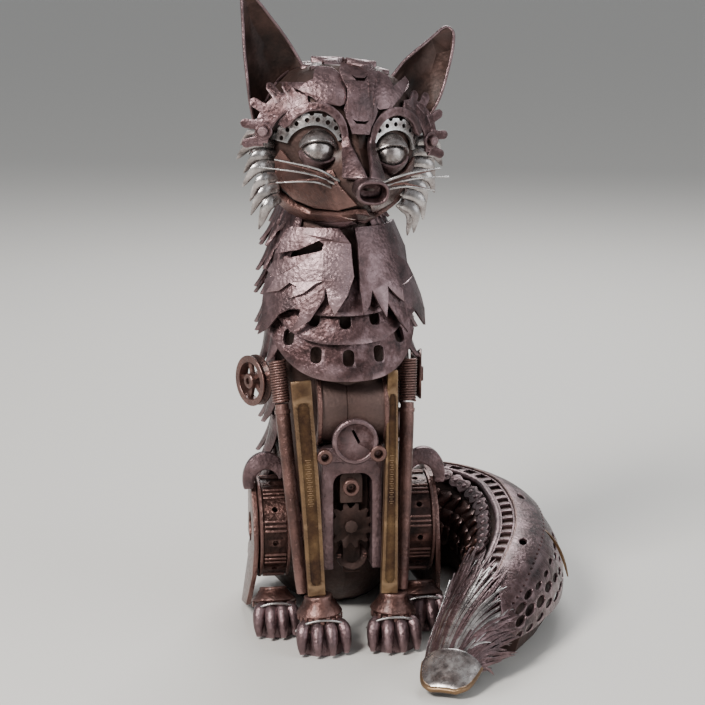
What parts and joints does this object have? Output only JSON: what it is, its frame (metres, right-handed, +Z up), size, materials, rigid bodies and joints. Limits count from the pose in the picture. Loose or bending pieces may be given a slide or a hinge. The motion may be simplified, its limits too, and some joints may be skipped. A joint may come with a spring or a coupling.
{
  "type": "scrap metal fox sculpture",
  "caption": "Seated fox sculpture welded from scrap steel plates, slotted discs, spanners, springs and chain, with a long tail curled forward along the ground.",
  "frame": {"origin": "the middle of the flat underside that the fox sits on, at ground level", "axes": "+Z up; the fox faces -Y; +X is the fox's own left, the side that the tail curls round"},
  "size_m": [0.3806, 0.5058, 0.682],
  "materials": {
    "oxide": "oiled brown oxide over old scrap steel, satin, slightly violet",
    "rust": "orange-brown rust under a clear coat",
    "dark": "dark brown oxide, dull",
    "worn": "bright worn steel",
    "brassy": "yellow-brown plating worn over steel"
  },
  "bodies": {
    "root": {"belly_bracket": "oxide", "belly_gear": "dark", "belly_roller": "rust", "bib_plate_left": "oxide", "bib_plate_right": "oxide", "body_shell": "dark", "breast_plate_left": "oxide", "breast_plate_right": "oxide", "brow_petal_left": "oxide", "brow_petal_right": "oxide", "cheek_plate_left": "rust", "cheek_plate_right": "rust", "cheek_ruff_left": "worn", "cheek_ruff_right": "worn", "chest_band_low": "oxide", "chest_band_middle": "oxide", "chest_band_top": "oxide", "chin_plate": "oxide", "ear_left": "dark", "ear_right": "dark", "eye_left": "worn", "eye_right": "worn", "eye_strap_left": "worn", "eye_strap_right": "worn", "eyelids_left": "oxide", "eyelids_right": "oxide", "forehead_plate": "oxide", "front_paw_left": "oxide", "front_paw_right": "oxide", "haunch_plate_left": "rust", "haunch_plate_right": "rust", "head_shell": "dark", "hind_paw_left": "oxide", "hind_paw_right": "oxide", "leg_strut_left": "rust", "leg_strut_right": "rust", "lip_band": "rust", "mane_plates_left": "rust", "mane_plates_right": "rust", "nose": "oxide", "nose_bridge": "oxide", "pulley_left": "rust", "pulley_right": "rust", "shoulder_spring_left": "rust", "shoulder_spring_right": "rust", "spanner_leg_left": "brassy", "spanner_leg_right": "brassy", "spine_plate": "oxide", "tail_chain": "oxide", "tail_fur": "worn", "tail_leaf_plate": "oxide", "tail_shell": "dark", "tail_slotted_strip": "oxide", "tail_wide_plate": "rust", "temple_plate_left": "oxide", "temple_plate_right": "oxide", "thigh_drum_left": "oxide", "thigh_drum_right": "oxide", "thigh_hook_left": "oxide", "thigh_hook_right": "oxide"}
  },
  "joints": []
}
